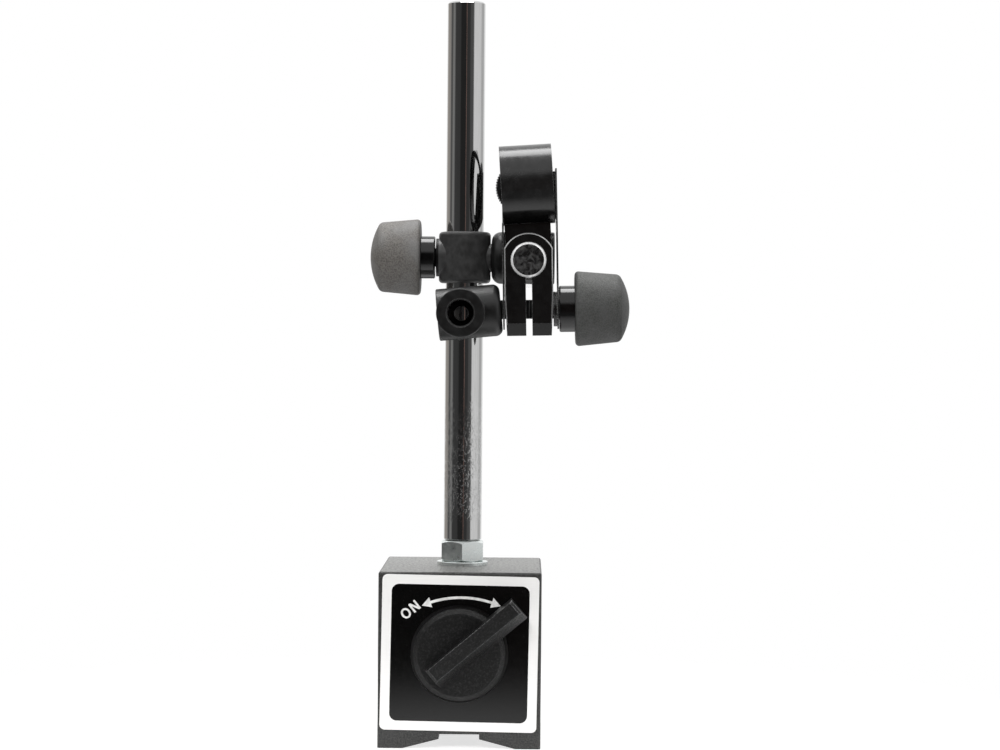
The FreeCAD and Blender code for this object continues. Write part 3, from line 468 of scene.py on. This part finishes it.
def grip_rubber(name, colour):
    """Soft grip with a fine matt grain."""
    look = Look(name, specular=0.45)
    grain = look.noise(0.45 * MM, detail=3, roughness=0.7)
    fine = look.noise(0.2 * MM, detail=2, roughness=0.5)
    bloom = look.noise(7 * MM, detail=2)
    darker = tuple(part * 0.55 for part in colour)
    paler = grey(sum(colour) / 2.6)
    tone = look.mix(look.remap(grain, 0.4, 0.58, 0, 1), darker, colour)
    look.set("Base Color", look.mix(look.remap(bloom, 0.35, 0.65, 0, 0.6), tone, paler))
    look.set("Roughness", look.remap(grain, 0.3, 0.7, 0.66, 0.5))
    relief = look.plus(grain, look.times(fine, 0.4))
    look.set("Normal", look.bump(relief, 0.11 * MM))
    return look.material


def ferrite():
    """The magnet: dull dark ceramic."""
    look = Look("ferrite", roughness=0.6)
    grain = look.noise(0.3 * MM, detail=4)
    look.set("Base Color", look.mix(grain, grey(0.03), grey(0.07)))
    look.set("Normal", look.bump(grain, 0.02 * MM))
    return look.material


def paint_nodes():
    """Give each CAD node the finish that its part has."""
    cast = black_finish(
        "cast_black", base=0.006, shine=0.36, grain_size=0.35 * MM, grain_depth=0.03 * MM,
        edge_light=0.4,
    )
    collar = black_finish(
        "collar_black", base=0.028, shine=0.34, grain_size=0.35 * MM, grain_depth=0.03 * MM,
        edge_light=0, shaded_necks_from=8.1 * MM,
    )
    gloss = black_finish(
        "gloss_black", base=0.004, shine=0.18, grain_size=0.5 * MM, grain_depth=0.004 * MM,
        edge_light=1, edge=0.22 * MM, mottle=0.3, rim_tone=0.75,
    )
    clamp = black_finish(
        "clamp_black", base=0.004, shine=0.2, grain_size=0.5 * MM, grain_depth=0.004 * MM,
        edge_light=0.6, edge=0.15 * MM, mottle=0.3, rim_tone=0.6, highlit_chamfers=True,
    )
    spring = black_finish(
        "spring_black", base=0.008, shine=0.2, grain_size=0.6 * MM, grain_depth=0.005 * MM,
        edge_light=0.7,
    )
    shank = black_finish(
        "shank_black", base=0.002, shine=0.1, grain_size=0.5 * MM, grain_depth=0.002 * MM,
        edge_light=0.2,
    )
    finishes = {
        hammered_paint(): ["left_pole_block", "right_pole_block", "top_spacer", "bottom_spacer"],
        bright_steel("bearing_alloy", (0.62, 0.60, 0.56), 0.4): ["rear_bearing", "rear_hub"],
        label_metal(): ["label_plate"],
        ferrite(): ["magnet_core"],
        bright_steel("soft_steel", (0.55, 0.55, 0.54), 0.32): [
            "upper_segment", "lower_segment", "cross_pins", "stop_pin", "retaining_ring",
            "thrust_pin", "swivel_pin", "fine_clip",
        ],
        chrome(): ["pole"],
        rod_steel(): ["sub_rod"],
        zinc(): ["pole_nut", "pole_washer"],
        cast: ["rod_sleeve", "stem_sleeve", "front_bearing", "front_hub"],
        collar: ["pole_collar"],
        gloss: ["bow_foot", "holder_washer"],
        clamp: ["holder_clamp"],
        spring: ["bow_spring", "fine_bracket", "fine_wheel"],
        shank: ["pole_knob_core", "holder_knob_core"],
        bright_steel("brass", (0.72, 0.52, 0.24), 0.3): ["pole_pad", "fine_nut"],
        grip_rubber("grip_left", (0.17, 0.16, 0.148)): ["pole_knob_grip"],
        grip_rubber("grip_right", (0.072, 0.074, 0.07)): ["holder_knob_grip"],
        moulded_plastic(): ["switch_knob"],
        threaded_steel("thread_m6", tone=0.025, pitch=1 * MM): ["pole_knob_screw", "stem_bolt"],
        bright_steel("screw_steel", grey(0.10), 0.3): ["bow_screw", "fine_screw"],
    }
    for material, names in finishes.items():
        for name in names:
            nodes[name].material_slots[0].material = material


# ---------------------------------------------------------------- outlines, as (x, z) points
def rounded_rectangle(wide, high, radius, steps=10):
    points = []
    for corner, (side, up) in enumerate(((1, 1), (-1, 1), (-1, -1), (1, -1))):
        for step in range(steps + 1):
            angle = math.radians(90 * (corner + step / steps))
            x = side * (wide / 2 - radius) + radius * math.cos(angle)
            z = up * (high / 2 - radius) + radius * math.sin(angle)
            points.append((x, z))
    return points


def ellipse(wide, high, steps=64):
    angles = [2 * math.pi * step / steps for step in range(steps)]
    return [(wide / 2 * math.cos(angle), high / 2 * math.sin(angle)) for angle in angles]


def double_arrow(chord, rise, line, head_long, head_wide, steps=24):
    """A double-headed arrow bent upward, its tips level and its middle above them."""
    radius = (chord**2 / 4 + rise**2) / (2 * rise)
    half = math.asin(chord / 2 / radius)
    neck = half - head_long / radius

    def at(angle, out):
        reach = radius + out
        return (reach * math.sin(angle), reach * math.cos(angle) - radius + rise)

    outer = [at(-neck + 2 * neck * step / steps, line / 2) for step in range(steps + 1)]
    inner = [at(neck - 2 * neck * step / steps, -line / 2) for step in range(steps + 1)]
    left = [at(-neck, -head_wide / 2), at(-half, 0), at(-neck, head_wide / 2)]
    right = [at(neck, head_wide / 2), at(half, 0), at(neck, -head_wide / 2)]
    return left + outer + right + inner


def letter_n(wide, high, stroke):
    lean = stroke * 1.15
    left, right, low, top = -wide / 2, wide / 2, -high / 2, high / 2
    return [
        (left, low), (left + stroke, low), (left + stroke, top - lean * 1.6),
        (right - lean, low), (right, low), (right, top), (right - stroke, top),
        (right - stroke, low + lean * 1.6), (left + lean, top), (left, top),
    ]


# ---------------------------------------------------------------- label print
FIELD_THICK = 0.03 * MM
INK_THICK = 0.02 * MM
SWITCH_HOLE = 29.96 * MM


def flat_piece(name, loops, centre, thick, material, turn=0.0):
    """A thin film whose back is at this centre. Inner outlines cut holes."""
    curve = bpy.data.curves.new(name, "CURVE")
    curve.dimensions = "2D"
    curve.fill_mode = "BOTH"
    curve.extrude = thick / 2
    for loop in loops:
        spline = curve.splines.new("POLY")
        spline.points.add(len(loop) - 1)
        spline.use_cyclic_u = True
        for point, (x, z) in zip(spline.points, loop):
            point.co = (x, z, 0, 1)
    holder = bpy.data.objects.new(name + "_outline", curve)
    mesh = bpy.data.meshes.new_from_object(holder)
    bpy.data.objects.remove(holder)
    mesh.transform(Matrix.Rotation(math.pi / 2, 4, "X") @ Matrix.Rotation(turn, 4, "Z"))
    mesh.transform(Matrix.Translation(centre - Vector((0, thick / 2, 0))))
    mesh.name = name
    mesh.materials.clear()
    mesh.materials.append(material)
    piece = bpy.data.objects.new(name, mesh)
    SCENE.collection.objects.link(piece)
    return piece


def add_label_print():
    """A black field, a double arrow over the switch and the word ON at its left end."""
    white = label_ink("white_ink", (0.95, 0.95, 0.93), 0.45)
    black = label_ink("black_ink", grey(0.002), 0.14)
    skew = math.radians(-0.8)
    low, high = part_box("label_plate")
    axis = Vector(((low.x + high.x) / 2, low.y, (low.z + high.z) / 2))
    field = rounded_rectangle(wide=42.2 * MM, high=41.9 * MM, radius=2.3 * MM)
    hole = ellipse(SWITCH_HOLE, SWITCH_HOLE, steps=128)

    on_field = axis - Vector((0, FIELD_THICK, 0))
    arrow = double_arrow(
        chord=24.1 * MM, rise=2.5 * MM, line=0.8 * MM, head_long=2.9 * MM, head_wide=3.2 * MM
    )
    over_switch = on_field + Vector((0.45 * MM, 0, 14.6 * MM))

    slope = math.radians(40) + skew
    along = Vector((math.cos(slope), 0, math.sin(slope)))
    word = on_field + Vector((-15.1 * MM, 0, 13.3 * MM))
    letter_o = [ellipse(2.9 * MM, 3.3 * MM), ellipse(1.65 * MM, 2.15 * MM)]
    o_place = word - along * 1.75 * MM
    n_outline = letter_n(wide=2.5 * MM, high=3.2 * MM, stroke=0.62 * MM)
    n_place = word + along * 1.65 * MM

    pieces = [
        flat_piece("label_field", [field, hole], axis, FIELD_THICK, black, skew),
        flat_piece("label_arrow", [arrow], over_switch, INK_THICK, white),
        flat_piece("label_letter_o", letter_o, o_place, INK_THICK, white, slope),
        flat_piece("label_letter_n", [n_outline], n_place, INK_THICK, white, slope),
    ]
    for piece in pieces:
        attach(piece, "base")


# ---------------------------------------------------------------- the scene
SCENE.view_settings.view_transform = "Standard"
add_camera()
add_world()
add_floor()
add_softbox(
    "overhead_box", place=(0, 0.2, 1.05), aim=(0, 0, 0.1), wide=0.5, high=0.45, brightness=8
)
add_softbox(
    "front_box", place=(-0.2, -0.95, 0.75), aim=(0, 0, 0.08), wide=0.6, high=0.4, brightness=10,
    mirrored=False,
)
paint_nodes()
add_label_print()
